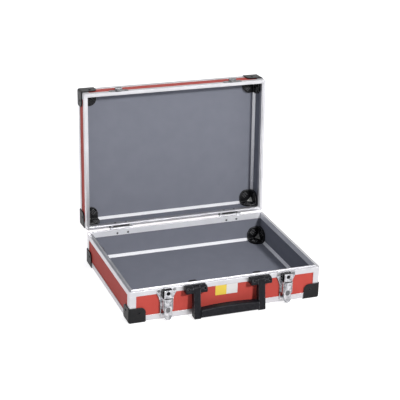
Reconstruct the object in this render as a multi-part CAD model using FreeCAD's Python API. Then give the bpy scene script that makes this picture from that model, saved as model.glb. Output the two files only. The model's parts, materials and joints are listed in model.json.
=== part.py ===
import FreeCAD, Part
import math
import os

# Aluminium-framed carrying case with a hinged lid, two keyed latches and a drop handle, shown open.
# Millimetres. +Z is up and the front faces -Y. The origin is under the middle of the base,
# on the surface that the four lower corner guards stand on.

Vector = FreeCAD.Vector

# Overall sizes, over the aluminium profiles
BODY_WIDTH = 342.0
BODY_DEPTH = 252.0
BASE_HEIGHT = 57.0
LID_HEIGHT = 42.0
SEAM_GAP = 0.5
LID_OPEN_ANGLE = 93.0

# Wall build-up: profile leg, faced board, lining sheet, profile leg
PROFILE_WALL = 1.0
BOARD_THICKNESS = 3.6
LINING_THICKNESS = 0.8

# Rim profiles: the base rim carries a lip that enters a rebate in the lid rim
RIM_LEG = 9.5
RIM_WEB = 1.2
LIP_WIDTH = 1.6
LIP_HEIGHT = 1.5
LIP_CLEARANCE = 0.3
LIP_HEADROOM = 0.5
GROOVE_DROP = 1.0
GROOVE_WIDTH = 0.8
GROOVE_DEPTH = 0.4

# Edge profiles around the closed faces, and angle posts on the upright corners
EDGE_LEG = 10.75
STRIP_LEG = 4.3
POST_LEG = 11.5
BODY_RADIUS = 2.2

# Plastic corner guards outside and corner caps inside
GUARD_WALL = 1.5
GUARD_LEG = 28.0
GUARD_RISE = 26.3
GUARD_ROUND = 9.0
CAP_LEG = 25.5
CAP_THICKNESS = 3.5
CAP_ROUND = 13.0
CAP_CHAMFER = 18.5
CAP_RIB_GAP = 0.7
CAP_RIB_WIDTH = 1.4
CAP_RIB_HEIGHT = 1.2
CAP_RIB_PITCH = 3.6
CAP_RIB_COUNT = 3
CAP_DIMPLE_RADIUS = 1.4
CAP_DIMPLE_DEPTH = 1.2

# Rivets
RIVET_RADIUS = 1.3
RIVET_CLEARANCE = 0.05
RIVET_HEAD_RADIUS = 2.6
RIVET_HEAD_HEIGHT = 0.9
RIVET_CROWN_RADIUS = 1.7
RIVET_TAIL_RADIUS = 2.1
RIVET_TAIL_HEIGHT = 0.7
GUARD_RIVET_INSET = 17.0

# Raised field of the base's underside, flush with the edge profiles and clear of the guards
FIELD_GAP = 0.4

# Hinges
HINGE_INSET = 65.0
HINGE_WIDTH = 44.0
HINGE_KNUCKLES = 5
HINGE_KNUCKLE_GAP = 0.4
HINGE_KNUCKLE_RADIUS = 1.8
HINGE_PIN_RADIUS = 0.9
HINGE_OFFSET = 2.2
LEAF_THICKNESS = 1.2
LEAF_HEIGHT = 11.0
LEAF_CLEARANCE = 0.3
LEAF_RIVET_SPREAD = 10.0
LEAF_RIVET_DROP = 5.5
HINGE_SLOT_LENGTH = 30.0
HINGE_SLOT_WIDTH = 2.6
HINGE_SLOT_INSET = 1.8
HINGE_SLOT_DEPTH = 1.0
HINGE_DOT_RADIUS = 1.1
HINGE_DOT_OFFSET = 21.0

# Clearances of turning fits
PIN_CLEARANCE = 0.05
SIDE_CLEARANCE = 0.3

# Latches: a plate with cheeks and a lock housing, a lever, a catch and a key plug
LATCH_INSET = 63.5
PLATE_THICKNESS = 1.2
PLATE_TOP_DROP = 1.5
PLATE_RISE = 5.5
PLATE_WING_WIDTH = 33.0
PLATE_WING_HEIGHT = 8.5
PLATE_WAIST_WIDTH = 21.4
PLATE_WAIST_DROP = 28.0
PLATE_HOLLOW_WIDTH = 0.3
PLATE_HOLLOW_HEIGHT = 0.52
PLATE_RIVET_SPREAD = 13.6
PLATE_RIVET_DROP = 4.6
PLATE_LOW_RIVET_RISE = 9.0
PLATE_WINDOW_IN = 4.2
PLATE_WINDOW_OUT = 8.8
PLATE_WINDOW_HEIGHT = 8.0
PLATE_WINDOW_GAP = 0.5
HOUSING_WIDTH = 14.2
HOUSING_WALL = 1.2
HOUSING_PROUD = 11.0
HOUSING_TOP_DROP = 1.0
HOUSING_HEIGHT = 14.3
HOUSING_WINDOW_MARGIN = 2.5
CHEEK_GAP = 0.8
CHEEK_THICKNESS = 1.0
CHEEK_FOOT = 3.0
CHEEK_PROUD = 10.9
CHEEK_ROUND = 1.5
LATCH_PIN_RADIUS = 0.9
LATCH_PIN_END = 0.6
LEVER_WIDTH = 13.4
LEVER_THICKNESS = 1.2
LEVER_BARREL_RADIUS = 1.9
LEVER_PIVOT_PROUD = 9.3
LEVER_TAPER_START = 19.4
LEVER_TAPER_END = 8.0
LEVER_TIP_WIDTH = 13.0
LEVER_OVERHANG = 2.4
LEVER_LIP_RISE = 12.0
LEVER_LIP_PROUD = 2.2
LEVER_FLANGE_LENGTH = 14.0
LEVER_FLANGE_DEPTH = 3.6
LEVER_DIMPLE_WIDTH = 7.5
LEVER_DIMPLE_LENGTH = 9.0
LEVER_DIMPLE_RISE = 13.0
LEVER_DIMPLE_DEPTH = 0.5
LEVER_DIMPLE_ROUND = 3.0
CATCH_WIDTH = 8.0
CATCH_THICKNESS = 1.0
CATCH_EYE_RADIUS = 2.2
CATCH_PIVOT_DROP = 17.0
CATCH_NOSE_WIDTH = 5.6
CATCH_NOSE_HEIGHT = 1.5
CATCH_NOSE_DROP = 2.8
CATCH_NOSE_REACH = 2.0
PLUG_RADIUS = 3.2
PLUG_COLLAR_RADIUS = 4.0
PLUG_COLLAR_THICKNESS = 0.7
PLUG_PROUD = 0.4
PLUG_DROP = 5.5
KEYHOLE_RADIUS = 1.2
KEYHOLE_SLOT_WIDTH = 1.1
KEYHOLE_SLOT_LENGTH = 2.6
KEYHOLE_DEPTH = 1.3

# Keepers on the lid, each with a tongue that drops into the lock housing
KEEPER_WIDTH = 34.0
KEEPER_THICKNESS = 1.2
KEEPER_BOTTOM = 1.5
KEEPER_TOP = 9.3
KEEPER_BOSS_BOTTOM = 2.5
KEEPER_BOSS_TOP = 7.5
KEEPER_BOSS_WIDTH = 13.0
KEEPER_BOSS_PROUD = 6.8
KEEPER_BOSS_ROUND = 2.0
KEEPER_RIVET_SPREAD = 13.4
KEEPER_RIVET_RISE = 5.4
TONGUE_WIDTH = 10.4
TONGUE_THICKNESS = 1.5
TONGUE_STANDOFF = 2.5
TONGUE_REACH = 5.6
TONGUE_BAR = 0.8
TONGUE_WINDOW_WIDTH = 6.4
TONGUE_WINDOW_TOP_DROP = 1.2
TONGUE_CATCH_GAP = 0.6
TONGUE_SLOT_CLEARANCE = 0.4

# Handle: brackets, pins, arms, steel core and grip
HANDLE_INSET = 49.5
BRACKET_WIDTH = 38.0
BRACKET_PROUD = 13.0
BRACKET_TOP_DROP = 1.0
BRACKET_HEIGHT = 11.7
BRACKET_BACK = 2.0
BRACKET_ROUND = 3.0
BRACKET_CROWN = 6.0
BRACKET_END_ROUND = 1.5
HANDLE_PIN_RADIUS = 1.5
HANDLE_PIN_MARGIN = 8.5
HANDLE_AXIS_PROUD = 8.0
HANDLE_AXIS_DROP = 4.5
ARM_WIDTH = 11.8
ARM_EYE_RADIUS = 3.9
ARM_FOOT_PROUD = 21.0
ARM_FOOT_THICKNESS = 14.0
ARM_ROUND = 3.0
ARM_CORNER = 2.5
HANDLE_GROUND_GAP = 1.3
GRIP_RISE = 2.2
GRIP_DEPTH = 15.0
GRIP_PROUD = 22.0
GRIP_END_HEIGHT = 15.0
GRIP_MIDDLE_HEIGHT = 17.8
GRIP_ROUND = 3.5
CORE_HEIGHT = 4.0
CORE_DEPTH = 6.0
CORE_CLEARANCE = 0.1
CORE_SEAT = 4.0
SCREW_SPREAD = 14.4
SCREW_DROP = 4.6
SCREW_RADIUS = 1.25
SCREW_HEAD_RADIUS = 2.2
SCREW_HEAD_HEIGHT = 1.8
SCREW_HEAD_SINK = 2.2
SCREW_END_WALL = 1.5
SCREW_CROSS_LENGTH = 2.6
SCREW_CROSS_WIDTH = 0.7
SCREW_CROSS_DEPTH = 0.8
BACKING_THICKNESS = 5.0
BACKING_WIDTH = 34.0
BACKING_DROP = 2.0
BACKING_BOSS_WIDTH = 16.0
BACKING_BOSS_RISE = 1.8
BACKING_BOSS_ROUND = 4.0

# Derived places
HALF_X = BODY_WIDTH / 2
HALF_Y = BODY_DEPTH / 2
WALL = 2 * PROFILE_WALL + BOARD_THICKNESS + LINING_THICKNESS
BOARD_IN = PROFILE_WALL + BOARD_THICKNESS
LINING_IN = BOARD_IN + LINING_THICKNESS
LAND_WIDTH = WALL - LIP_WIDTH - LIP_CLEARANCE
REBATE = LIP_HEIGHT - SEAM_GAP + LIP_HEADROOM
BASE_BOTTOM = GUARD_WALL
BASE_TOP = BASE_BOTTOM + BASE_HEIGHT
LID_SEAM = BASE_TOP + SEAM_GAP
LID_TOP = LID_SEAM + LID_HEIGHT
FRONT = -HALF_Y
HINGE_SPREAD = HALF_X - HINGE_INSET
LATCH_SPREAD = HALF_X - LATCH_INSET
HANDLE_SPREAD = LATCH_SPREAD - HANDLE_INSET
HINGE_Y = HALF_Y + HINGE_OFFSET
HINGE_Z = BASE_TOP + SEAM_GAP / 2
X_AXIS = Vector(1, 0, 0)
Y_AXIS = Vector(0, 1, 0)
Z_AXIS = Vector(0, 0, 1)
ORIGIN = Vector(0, 0, 0)
SIDES = ("front", "back", "left", "right")
TOUCH = 0.01


def box(x0, x1, y0, y1, z0, z1):
    return Part.makeBox(x1 - x0, y1 - y0, z1 - z0, Vector(x0, y0, z0))


def rod(radius, start, end):
    return Part.makeCylinder(radius, (end - start).Length, start, end - start)


def plate(points, thickness):
    """A flat plate: a closed outline of points, pushed along a vector."""
    return Part.Face(Part.makePolygon(points + points[:1])).extrude(thickness)


def join(shapes):
    return shapes[0].multiFuse(shapes[1:]).removeSplitter()


def mirror(shape, axis):
    return shape.mirror(ORIGIN, axis)


def left_and_right(shape):
    return [shape, mirror(shape, X_AXIS)]


def four_corners(shape):
    return left_and_right(shape) + left_and_right(mirror(shape, Y_AXIS))


def moved(shape, offset):
    copy = shape.copy()
    copy.translate(offset)
    return copy


def turned(shape, centre, axis, angle):
    copy = shape.copy()
    copy.rotate(centre, axis, angle)
    return copy


def along(edge, axis):
    span = edge.Vertexes[-1].Point - edge.Vertexes[0].Point
    return span.Length > TOUCH and abs(span.normalize().dot(axis)) > 1 - TOUCH / 10


def round_edges(shape, radius, test):
    """Fillets the straight edges for which test(edge, middle) holds."""
    return shape.makeFillet(radius, [edge for edge in shape.Edges if test(edge, edge.CenterOfMass)])


def near(value, target):
    return abs(value - target) < TOUCH


# Rivets and their holes: a rivet goes in at a point on an outer face, along the inward direction
def rivet(point, inward, grip):
    crown = point - inward * RIVET_HEAD_HEIGHT
    end = point + inward * grip
    head = Part.makeCone(RIVET_CROWN_RADIUS, RIVET_HEAD_RADIUS, RIVET_HEAD_HEIGHT, crown, inward)
    shank = Part.makeCylinder(RIVET_RADIUS, grip, point, inward)
    tail = Part.makeCone(RIVET_TAIL_RADIUS, RIVET_CROWN_RADIUS, RIVET_TAIL_HEIGHT, end, inward)
    return join([head, shank, tail])


def rivet_hole(point, inward, grip):
    spare = inward * RIVET_HEAD_HEIGHT
    return rod(RIVET_RADIUS + RIVET_CLEARANCE, point - spare, point + inward * grip + spare)


# Trays: base and lid are both built closed face down, with z = 0 on the closed face
def tray_outline(height):
    block = box(-HALF_X, HALF_X, -HALF_Y, HALF_Y, 0, height + LIP_HEIGHT)
    return round_edges(block, BODY_RADIUS, lambda edge, middle: along(edge, Z_AXIS) or near(middle.z, 0))


def mitred_runs(section, outline):
    """Four lengths of one profile round the tray. Section points are (inward, upward)."""
    reach = max(inward for inward, upward in section) + PROFILE_WALL
    tall = Vector(0, 0, outline.BoundBox.ZMax)
    front_points = [Vector(-HALF_X, -HALF_Y + inward, upward) for inward, upward in section]
    left_points = [Vector(-HALF_X + inward, -HALF_Y, upward) for inward, upward in section]
    front_mitre = [
        Vector(-HALF_X, -HALF_Y, 0),
        Vector(HALF_X, -HALF_Y, 0),
        Vector(HALF_X - reach, -HALF_Y + reach, 0),
        Vector(-HALF_X + reach, -HALF_Y + reach, 0),
    ]
    left_mitre = [
        Vector(-HALF_X, -HALF_Y, 0),
        Vector(-HALF_X + reach, -HALF_Y + reach, 0),
        Vector(-HALF_X + reach, HALF_Y - reach, 0),
        Vector(-HALF_X, HALF_Y, 0),
    ]
    front = plate(front_points, Vector(BODY_WIDTH, 0, 0)).common(plate(front_mitre, tall)).common(outline)
    left = plate(left_points, Vector(0, BODY_DEPTH, 0)).common(plate(left_mitre, tall)).common(outline)
    return {"front": front, "back": mirror(front, Y_AXIS), "left": left, "right": mirror(left, X_AXIS)}


def rim_section(height, is_base):
    foot = height - RIM_LEG
    groove_top = height - GROOVE_DROP
    outer = [
        (0, foot),
        (0, groove_top - GROOVE_WIDTH),
        (GROOVE_DEPTH, groove_top - GROOVE_WIDTH / 2),
        (0, groove_top),
        (0, height),
    ]
    if is_base:
        step = WALL - LIP_WIDTH
        crest = height + LIP_HEIGHT
        seat = height - RIM_WEB
    else:
        step = LAND_WIDTH
        crest = height - REBATE
        seat = crest - RIM_WEB
    inner = [
        (step, height),
        (step, crest),
        (WALL, crest),
        (WALL, foot),
        (LINING_IN, foot),
        (LINING_IN, seat),
        (PROFILE_WALL, seat),
        (PROFILE_WALL, foot),
    ]
    return outer + inner, seat


def edge_section():
    return [
        (0, 0),
        (EDGE_LEG, 0),
        (EDGE_LEG, PROFILE_WALL),
        (WALL, PROFILE_WALL),
        (WALL, LINING_IN),
        (LINING_IN + STRIP_LEG, LINING_IN),
        (LINING_IN, LINING_IN + STRIP_LEG),
        (LINING_IN, WALL),
        (PROFILE_WALL, WALL),
        (PROFILE_WALL, EDGE_LEG),
        (0, EDGE_LEG),
    ]


def corner_post(height, outline):
    bottom, top = EDGE_LEG, height - RIM_LEG
    block = box(-HALF_X, -HALF_X + POST_LEG, -HALF_Y, -HALF_Y + POST_LEG, bottom, top)
    inner = box(-HALF_X + PROFILE_WALL, 0, -HALF_Y + PROFILE_WALL, 0, bottom, top)
    return block.cut(inner).common(outline)


def corner_guard():
    x0, y0, z0 = -HALF_X - GUARD_WALL, -HALF_Y - GUARD_WALL, -GUARD_WALL
    x1, y1, z1 = -HALF_X + GUARD_LEG, -HALF_Y + GUARD_LEG, GUARD_RISE

    def outer(edge, middle):
        return sum((near(middle.x, x0), near(middle.y, y0), near(middle.z, z0))) == 2

    def free(edge, middle):
        return sum((near(middle.x, x1), near(middle.y, y1), near(middle.z, z1))) == 2

    block = round_edges(box(x0, x1, y0, y1, z0, z1), BODY_RADIUS + GUARD_WALL, outer)
    shell = block.cut(box(-HALF_X, x1, -HALF_Y, y1, 0, z1))
    return round_edges(shell, GUARD_ROUND, free)


def corner_cap(edges):
    lobe = box(0, CAP_LEG, 0, CAP_LEG, 0, CAP_THICKNESS)
    lobe = round_edges(
        lobe, CAP_ROUND, lambda edge, middle: near(middle.x, CAP_LEG) and near(middle.y, CAP_LEG)
    )
    ribs = []
    rib_top = CAP_THICKNESS + CAP_RIB_HEIGHT
    rib_start = (GUARD_RIVET_INSET - LINING_IN) * math.sqrt(2) + RIVET_TAIL_RADIUS + CAP_RIB_GAP
    rib_end = CAP_LEG * math.sqrt(2) - CAP_ROUND * (math.sqrt(2) - 1) - CAP_RIB_PITCH
    for index in range(CAP_RIB_COUNT):
        side = (index - (CAP_RIB_COUNT - 1) / 2) * CAP_RIB_PITCH - CAP_RIB_WIDTH / 2
        bar = box(rib_start, rib_end, side, side + CAP_RIB_WIDTH, 0, rib_top)
        ribs.append(turned(bar, ORIGIN, Z_AXIS, 45))
    lobe = join([lobe] + ribs)
    diagonal = Vector(1, 1, 1)
    lobes = [turned(lobe, ORIGIN, diagonal, angle) for angle in (0, 120, 240)]
    tips = [Vector(CAP_CHAMFER, 0, 0), Vector(0, CAP_CHAMFER, 0), Vector(0, 0, CAP_CHAMFER)]
    faces = [Part.Face(Part.makePolygon(tips + tips[:1]))]
    for first, second in ((0, 1), (1, 2), (2, 0)):
        faces.append(Part.Face(Part.makePolygon([ORIGIN, tips[first], tips[second], ORIGIN])))
    wedge = Part.makeSolid(Part.makeShell(faces))
    facet = diagonal * (CAP_CHAMFER / 3)
    inward = Vector(diagonal).normalize()
    dimple = rod(CAP_DIMPLE_RADIUS, facet - inward * CAP_DIMPLE_DEPTH, facet + inward * CAP_DIMPLE_DEPTH)
    cap = join(lobes + [wedge]).cut(dimple)
    corner = Vector(-HALF_X + LINING_IN, -HALF_Y + LINING_IN, LINING_IN)
    return moved(cap, corner).cut([edges["front"], edges["left"]])


def corner_rivet_places():
    """Points on the two upright outer faces of the front left guard, with their inward directions."""
    near_x, near_y = -HALF_X + GUARD_RIVET_INSET, -HALF_Y + GUARD_RIVET_INSET
    return [
        (Vector(near_x, -HALF_Y - GUARD_WALL, GUARD_RIVET_INSET), Y_AXIS),
        (Vector(-HALF_X - GUARD_WALL, near_y, GUARD_RIVET_INSET), X_AXIS),
    ]


def make_tray(height, is_base):
    """The pieces that base and lid share, by plain name, each a list of solids."""
    outline = tray_outline(height)
    section, seat = rim_section(height, is_base)
    rims = mitred_runs(section, outline)
    edges = mitred_runs(edge_section(), outline)
    corner_grip = GUARD_WALL + LINING_IN + CAP_THICKNESS
    rivets = []
    holes = []
    for point, inward in corner_rivet_places():
        rivets += four_corners(rivet(point, inward, corner_grip))
        holes += four_corners(rivet_hole(point, inward, corner_grip))

    # Planes of the walls: outer and inner face of the boards, inner face of the linings
    x_out, y_out = HALF_X - PROFILE_WALL, HALF_Y - PROFILE_WALL
    x_mid, y_mid = HALF_X - BOARD_IN, HALF_Y - BOARD_IN
    x_in, y_in = HALF_X - LINING_IN, HALF_Y - LINING_IN
    front_board = box(-x_out, x_out, -y_out, -y_mid, WALL, seat)
    left_board = box(-x_out, -x_mid, -y_mid, y_mid, WALL, seat)
    front_lining = box(-x_mid, x_mid, -y_mid, -y_in, WALL, seat)
    left_lining = box(-x_mid, -x_in, -y_in, y_in, WALL, seat)
    flat_x, flat_y = HALF_X - WALL, HALF_Y - WALL
    boards = {
        "front": front_board.cut(holes),
        "back": mirror(front_board, Y_AXIS).cut(holes),
        "left": left_board.cut(holes),
        "right": mirror(left_board, X_AXIS).cut(holes),
    }
    linings = {
        "front": front_lining.cut(holes),
        "back": mirror(front_lining, Y_AXIS).cut(holes),
        "left": left_lining.cut(holes),
        "right": mirror(left_lining, X_AXIS).cut(holes),
    }
    tray = {
        "flat_panel": box(-flat_x, flat_x, -flat_y, flat_y, PROFILE_WALL, BOARD_IN),
        "flat_lining": box(-flat_x, flat_x, -flat_y, flat_y, BOARD_IN, LINING_IN),
        "corner_posts": four_corners(corner_post(height, outline)),
        "corner_guards": [guard.cut(holes) for guard in four_corners(corner_guard())],
        "corner_caps": [cap.cut(holes) for cap in four_corners(corner_cap(edges))],
        "corner_rivets": rivets,
    }
    for side in SIDES:
        tray[side + "_panel"] = boards[side]
        tray[side + "_lining"] = linings[side]
        tray["rim_" + side] = rims[side]
        tray["edge_" + side] = edges[side]
    return tray


def underside_field():
    """Thickens the base's floor board to the level of its edge profiles, inside them and the guards."""
    x1, y1 = HALF_X - EDGE_LEG - FIELD_GAP, HALF_Y - EDGE_LEG - FIELD_GAP
    x0, y0 = HALF_X - GUARD_LEG - FIELD_GAP, HALF_Y - GUARD_LEG - FIELD_GAP
    wide = box(-x1, x1, -y0, y0, 0, PROFILE_WALL)
    long = box(-x0, x0, -y1, y1, 0, PROFILE_WALL)
    return wide.fuse(long)


def across(radius, pivot, half):
    """A round bar along X, centred on a pivot."""
    return rod(radius, pivot - X_AXIS * half, pivot + X_AXIS * half)


# Hinges, built at x = 0 with the lid closed
def knuckle_span(index):
    pitch = HINGE_WIDTH / HINGE_KNUCKLES
    start = -HINGE_WIDTH / 2 + index * pitch
    return start + HINGE_KNUCKLE_GAP / 2, start + pitch - HINGE_KNUCKLE_GAP / 2


def leaf_rivet_places():
    return [
        (Vector(x, HALF_Y + LEAF_THICKNESS, BASE_TOP - LEAF_RIVET_DROP), -Y_AXIS)
        for x in (-LEAF_RIVET_SPREAD, LEAF_RIVET_SPREAD)
    ]


def base_leaf(knuckles):
    top = HINGE_Z - HINGE_KNUCKLE_RADIUS - LEAF_CLEARANCE
    half = HINGE_WIDTH / 2
    solids = [box(-half, half, HALF_Y, HALF_Y + LEAF_THICKNESS, top - LEAF_HEIGHT, top)]
    for index in knuckles:
        x0, x1 = knuckle_span(index)
        solids.append(box(x0, x1, HALF_Y, HALF_Y + LEAF_THICKNESS, top, HINGE_Z))
        solids.append(rod(HINGE_KNUCKLE_RADIUS, Vector(x0, HINGE_Y, HINGE_Z), Vector(x1, HINGE_Y, HINGE_Z)))
    bore = across(HINGE_PIN_RADIUS + PIN_CLEARANCE, Vector(0, HINGE_Y, HINGE_Z), half)
    return join(solids).cut(bore)


def over_seam(shape):
    """Mirrors a base fitting across the middle of the closed seam to make the lid's."""
    return shape.mirror(Vector(0, 0, HINGE_Z), Z_AXIS)


# Latches, built at x = 0 with the lid closed
HOUSING_BACK = FRONT - PLATE_THICKNESS
HOUSING_FRONT = FRONT - HOUSING_PROUD
HOUSING_TOP = BASE_TOP - HOUSING_TOP_DROP
HOUSING_BOTTOM = HOUSING_TOP - HOUSING_HEIGHT
PLUG_HEIGHT = HOUSING_TOP - PLUG_DROP
PLATE_BOTTOM = BASE_BOTTOM + PLATE_RISE
LEVER_TIP = PLATE_BOTTOM - LEVER_OVERHANG
LEVER_TAPER_TOP = LEVER_TIP + LEVER_TAPER_START
LEVER_TAPER_BOTTOM = LEVER_TIP + LEVER_TAPER_END
LEVER_PIVOT_HEIGHT = HOUSING_BOTTOM - SIDE_CLEARANCE - LEVER_BARREL_RADIUS
CATCH_PIVOT_HEIGHT = LEVER_PIVOT_HEIGHT - CATCH_PIVOT_DROP
CHEEK_BOTTOM = CATCH_PIVOT_HEIGHT - CHEEK_FOOT
TONGUE_BACK = FRONT - TONGUE_STANDOFF
TONGUE_FRONT = TONGUE_BACK - TONGUE_THICKNESS
CATCH_BACK = TONGUE_FRONT - TONGUE_CATCH_GAP
CATCH_FRONT = CATCH_BACK - CATCH_THICKNESS
CATCH_PIVOT = Vector(0, (CATCH_BACK + CATCH_FRONT) / 2, CATCH_PIVOT_HEIGHT)
LEVER_PIVOT = Vector(0, FRONT - LEVER_PIVOT_PROUD, LEVER_PIVOT_HEIGHT)
CHEEK_IN = LEVER_WIDTH / 2 + CHEEK_GAP
CHEEK_OUT = CHEEK_IN + CHEEK_THICKNESS


def plate_outline():
    """Half a vase shape: wings at the top, a concave shoulder and a straight foot."""
    wing, waist = PLATE_WING_WIDTH / 2, PLATE_WAIST_WIDTH / 2
    top = BASE_TOP - PLATE_TOP_DROP
    shoulder = top - PLATE_WING_HEIGHT
    neck = top - PLATE_WAIST_DROP
    hollow_x = waist + (wing - waist) * PLATE_HOLLOW_WIDTH
    hollow = Vector(hollow_x, FRONT, neck + (shoulder - neck) * PLATE_HOLLOW_HEIGHT)
    corners = [
        Vector(0, FRONT, PLATE_BOTTOM),
        Vector(0, FRONT, top),
        Vector(wing, FRONT, top),
        Vector(wing, FRONT, shoulder),
        Vector(waist, FRONT, neck),
        Vector(waist, FRONT, PLATE_BOTTOM),
    ]
    edges = [Part.makeLine(corners[index], corners[index + 1]) for index in (0, 1, 2)]
    edges.append(Part.Arc(corners[3], hollow, corners[4]).toShape())
    edges.append(Part.makeLine(corners[4], corners[5]))
    edges.append(Part.makeLine(corners[5], corners[0]))
    return Part.Face(Part.Wire(edges))


def plate_rivet_places():
    face = FRONT - PLATE_THICKNESS
    high = BASE_TOP - PLATE_RIVET_DROP
    low = PLATE_BOTTOM + PLATE_LOW_RIVET_RISE
    spots = [(-PLATE_RIVET_SPREAD, high), (PLATE_RIVET_SPREAD, high), (0, low)]
    return [(Vector(x, face, z), Y_AXIS) for x, z in spots]


def plate_rivet_grip(point):
    """The rivets clench on the rim's inner leg above its foot, and on the lining below it."""
    depth = WALL if point.z > BASE_TOP - RIM_LEG else LINING_IN
    return PLATE_THICKNESS + depth


def latch_plate():
    half_plate = plate_outline().extrude(Vector(0, -PLATE_THICKNESS, 0))
    half = HOUSING_WIDTH / 2
    inner = half - HOUSING_WALL
    cavity_front, cavity_top = HOUSING_FRONT + HOUSING_WALL, HOUSING_TOP - HOUSING_WALL
    slot_half = TONGUE_WIDTH / 2 + TONGUE_SLOT_CLEARANCE
    slot_front = TONGUE_FRONT - TONGUE_SLOT_CLEARANCE

    def front_edge(edge, middle):
        return near(middle.y, HOUSING_FRONT) and middle.z > HOUSING_BOTTOM + TOUCH

    def cheek_corner(edge, middle):
        return along(edge, X_AXIS) and near(middle.y, FRONT - CHEEK_PROUD)

    shell = box(-half, half, HOUSING_FRONT, HOUSING_BACK, HOUSING_BOTTOM, HOUSING_TOP)
    shell = round_edges(shell, HOUSING_WALL / 2, front_edge)
    cavity = box(-inner, inner, cavity_front, HOUSING_BACK, HOUSING_BOTTOM, cavity_top)
    slot = box(-slot_half, slot_half, slot_front, HOUSING_BACK, HOUSING_BOTTOM, HOUSING_TOP)
    plug_spot = Vector(0, HOUSING_FRONT, PLUG_HEIGHT)
    plug_hole = rod(PLUG_RADIUS + PIN_CLEARANCE, plug_spot, plug_spot + Y_AXIS * HOUSING_WALL)
    margin = HOUSING_WINDOW_MARGIN
    window_y = (HOUSING_FRONT + margin, HOUSING_BACK - margin)
    window_z = (HOUSING_BOTTOM + margin, HOUSING_TOP - margin)
    side_window = box(-half, half, *window_y, *window_z)
    housing = shell.cut([cavity, slot, plug_hole, side_window])
    cheek = box(CHEEK_IN, CHEEK_OUT, FRONT - CHEEK_PROUD, HOUSING_BACK, CHEEK_BOTTOM, HOUSING_BOTTOM)
    cheek = round_edges(cheek, CHEEK_ROUND, cheek_corner)
    bore_radius = LATCH_PIN_RADIUS + PIN_CLEARANCE
    bores = [across(bore_radius, pivot, CHEEK_OUT) for pivot in (LEVER_PIVOT, CATCH_PIVOT)]
    rivets = [rivet_hole(point, inward, WALL) for point, inward in plate_rivet_places()]
    window_top = CHEEK_BOTTOM - PLATE_WINDOW_GAP
    window_low = window_top - PLATE_WINDOW_HEIGHT
    window = box(PLATE_WINDOW_IN, PLATE_WINDOW_OUT, HOUSING_BACK, FRONT, window_low, window_top)
    solid = join(left_and_right(half_plate) + left_and_right(cheek) + [housing])
    return solid.cut(bores + rivets + left_and_right(window))


def latch_lever():
    half, tip = LEVER_WIDTH / 2, LEVER_TIP_WIDTH / 2
    face = LEVER_PIVOT.y - LEVER_BARREL_RADIUS
    back = face + LEVER_THICKNESS
    round_start = LEVER_TIP + tip
    corners = [
        Vector(0, face, LEVER_PIVOT_HEIGHT),
        Vector(half, face, LEVER_PIVOT_HEIGHT),
        Vector(half, face, LEVER_TAPER_TOP),
        Vector(tip, face, LEVER_TAPER_BOTTOM),
        Vector(tip, face, round_start),
        Vector(0, face, LEVER_TIP),
    ]
    bend = Vector(tip * math.sqrt(0.5), face, round_start - tip * math.sqrt(0.5))
    edges = [Part.makeLine(corners[index], corners[index + 1]) for index in range(4)]
    edges.append(Part.Arc(corners[4], bend, corners[5]).toShape())
    edges.append(Part.makeLine(corners[5], corners[0]))
    tongue = Part.Face(Part.Wire(edges)).extrude(Vector(0, LEVER_THICKNESS, 0))
    blade = join(left_and_right(tongue))
    lip_side = [
        Vector(-tip, back, LEVER_TIP + LEVER_LIP_RISE),
        Vector(-tip, face - LEVER_LIP_PROUD, LEVER_TIP),
        Vector(-tip, face - LEVER_LIP_PROUD + LEVER_THICKNESS, LEVER_TIP),
    ]
    lip = plate(lip_side, Vector(2 * tip, 0, 0))
    lip_front = face - LEVER_LIP_PROUD
    lip_round = rod(tip, Vector(0, lip_front, round_start), Vector(0, back, round_start))
    lip_top = box(-tip, tip, lip_front, back, round_start, LEVER_TAPER_BOTTOM)
    lip = lip.common(join([lip_round, lip_top]))
    barrel = across(LEVER_BARREL_RADIUS, LEVER_PIVOT, half)
    flange_in, flange_back = half - LEVER_THICKNESS, back + LEVER_FLANGE_DEPTH
    flange_low = LEVER_PIVOT_HEIGHT - LEVER_FLANGE_LENGTH
    flange = box(flange_in, half, back, flange_back, flange_low, LEVER_PIVOT_HEIGHT)
    bore = across(LATCH_PIN_RADIUS + PIN_CLEARANCE, LEVER_PIVOT, half)
    dimple_half, dimple_low = LEVER_DIMPLE_WIDTH / 2, LEVER_TIP + LEVER_DIMPLE_RISE
    dimple_top = dimple_low + LEVER_DIMPLE_LENGTH
    dimple = box(-dimple_half, dimple_half, face, face + LEVER_DIMPLE_DEPTH, dimple_low, dimple_top)
    dimple = round_edges(dimple, LEVER_DIMPLE_ROUND, lambda edge, middle: along(edge, Y_AXIS))
    return join([blade, lip, barrel] + left_and_right(flange)).cut([bore, dimple])


def latch_catch():
    half, nose = CATCH_WIDTH / 2, CATCH_NOSE_WIDTH / 2
    top = BASE_TOP - CATCH_NOSE_DROP
    strip = box(-half, half, CATCH_FRONT, CATCH_BACK, CATCH_PIVOT_HEIGHT, top)
    hook = box(-nose, nose, CATCH_BACK, CATCH_BACK + CATCH_NOSE_REACH, top - CATCH_NOSE_HEIGHT, top)
    eye = across(CATCH_EYE_RADIUS, CATCH_PIVOT, half)
    return join([strip, hook, eye]).cut(across(LATCH_PIN_RADIUS + PIN_CLEARANCE, CATCH_PIVOT, half))


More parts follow.
